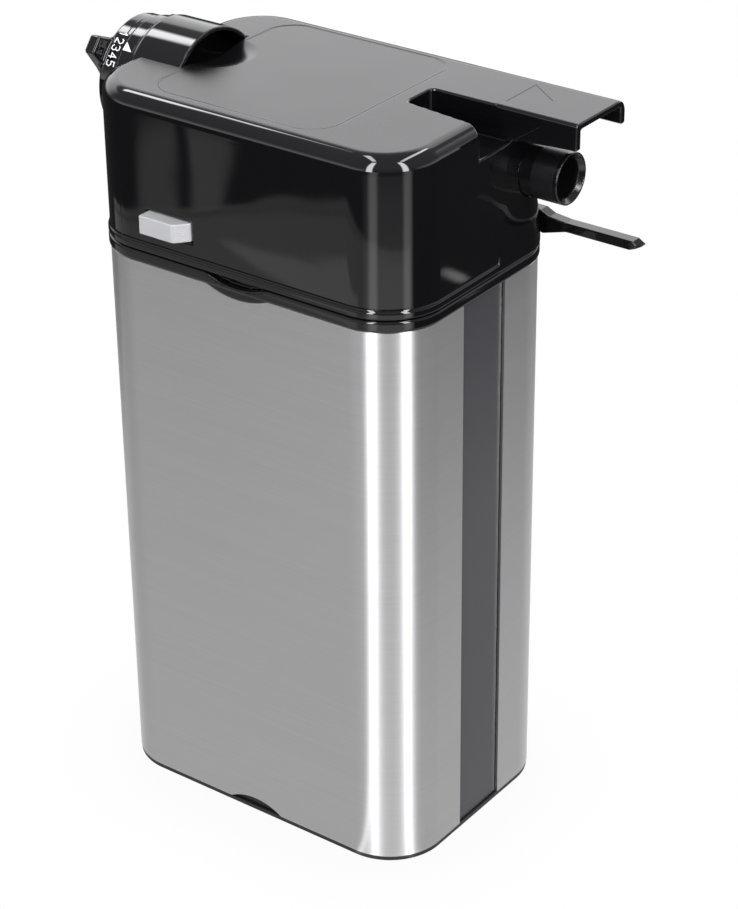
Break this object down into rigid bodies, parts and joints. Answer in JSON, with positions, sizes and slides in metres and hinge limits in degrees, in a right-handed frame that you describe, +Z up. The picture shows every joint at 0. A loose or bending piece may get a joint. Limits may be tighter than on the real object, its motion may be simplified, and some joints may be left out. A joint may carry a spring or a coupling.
{
  "type": "milk carafe",
  "caption": "Steel-sleeved rectangular milk jug with a plug-in frothing head, froth dial, docking steam socket, pull-down spout and sprung side releases.",
  "frame": {"origin": "centre of the underside of the jug, on the plane it stands on", "axes": "+Z up, +X along the long side towards the steam socket and the coffee machine, -X towards the froth dial and the user, +Y towards the milk spout"},
  "size_m": [0.1393, 0.0959, 0.2081],
  "materials": {
    "brushed_steel": "vertically brushed stainless sheet",
    "dark_plastic": "satin",
    "grey_plastic": "satin",
    "clear_plastic": "polished, milky",
    "black_gloss": "high gloss",
    "screw_steel": "zinc plated",
    "silicone": "matte silicone",
    "white_plastic": "satin",
    "seal_rubber": "matte silicone",
    "button_grey": "satin",
    "spring_steel": "drawn wire"
  },
  "bodies": {
    "jug": {"steel_sleeve": "brushed_steel", "jug_shell": "dark_plastic", "spine_strip": "grey_plastic", "jug_liner": "clear_plastic", "jug_collar": "black_gloss", "base_cover": "dark_plastic", "base_screws": "screw_steel"},
    "head": {"head_shell": "black_gloss", "head_floor": "dark_plastic", "head_gasket": "silicone", "floor_screws": "screw_steel", "regulator_housing": "black_gloss", "milk_tube": "white_plastic", "tube_grommet": "silicone", "milk_duct": "white_plastic", "frother_body": "dark_plastic", "steam_nozzle": "black_gloss", "nozzle_seal": "seal_rubber", "spout_arm": "black_gloss", "spout_ring": "silicone", "docking_prong": "dark_plastic", "near_spring": "spring_steel", "far_spring": "spring_steel"},
    "dial": {"froth_dial": "black_gloss", "regulator_plug": "white_plastic", "plug_seals": "seal_rubber"},
    "near_release": {"near_release_button": "button_grey", "near_latch": "dark_plastic"},
    "far_release": {"far_release_button": "button_grey", "far_latch": "dark_plastic"},
    "spout": {"spout_tube": "black_gloss"}
  },
  "joints": [
    {"name": "head_lift", "type": "slide", "parent": "jug", "child": "head", "axis": [0, 0, 1], "range_m": [0, 0.17]},
    {"name": "dial_turn", "type": "hinge", "parent": "head", "child": "dial", "pos_m": [-0.055, 0, 0.1905], "axis": [1, 0, 0], "range_deg": [-120, 30]},
    {"name": "near_press", "type": "slide", "parent": "head", "child": "near_release", "axis": [0, 1, 0], "range_m": [0, 0.0025], "stiffness_N_per_m": 600, "deforming": ["near_spring"]},
    {"name": "far_press", "type": "slide", "parent": "head", "child": "far_release", "axis": [0, -1, 0], "range_m": [0, 0.0025], "stiffness_N_per_m": 600, "deforming": ["far_spring"]},
    {"name": "spout_pull", "type": "slide", "parent": "head", "child": "spout", "axis": [0, 0, -1], "range_m": [0, 0.018]}
  ]
}
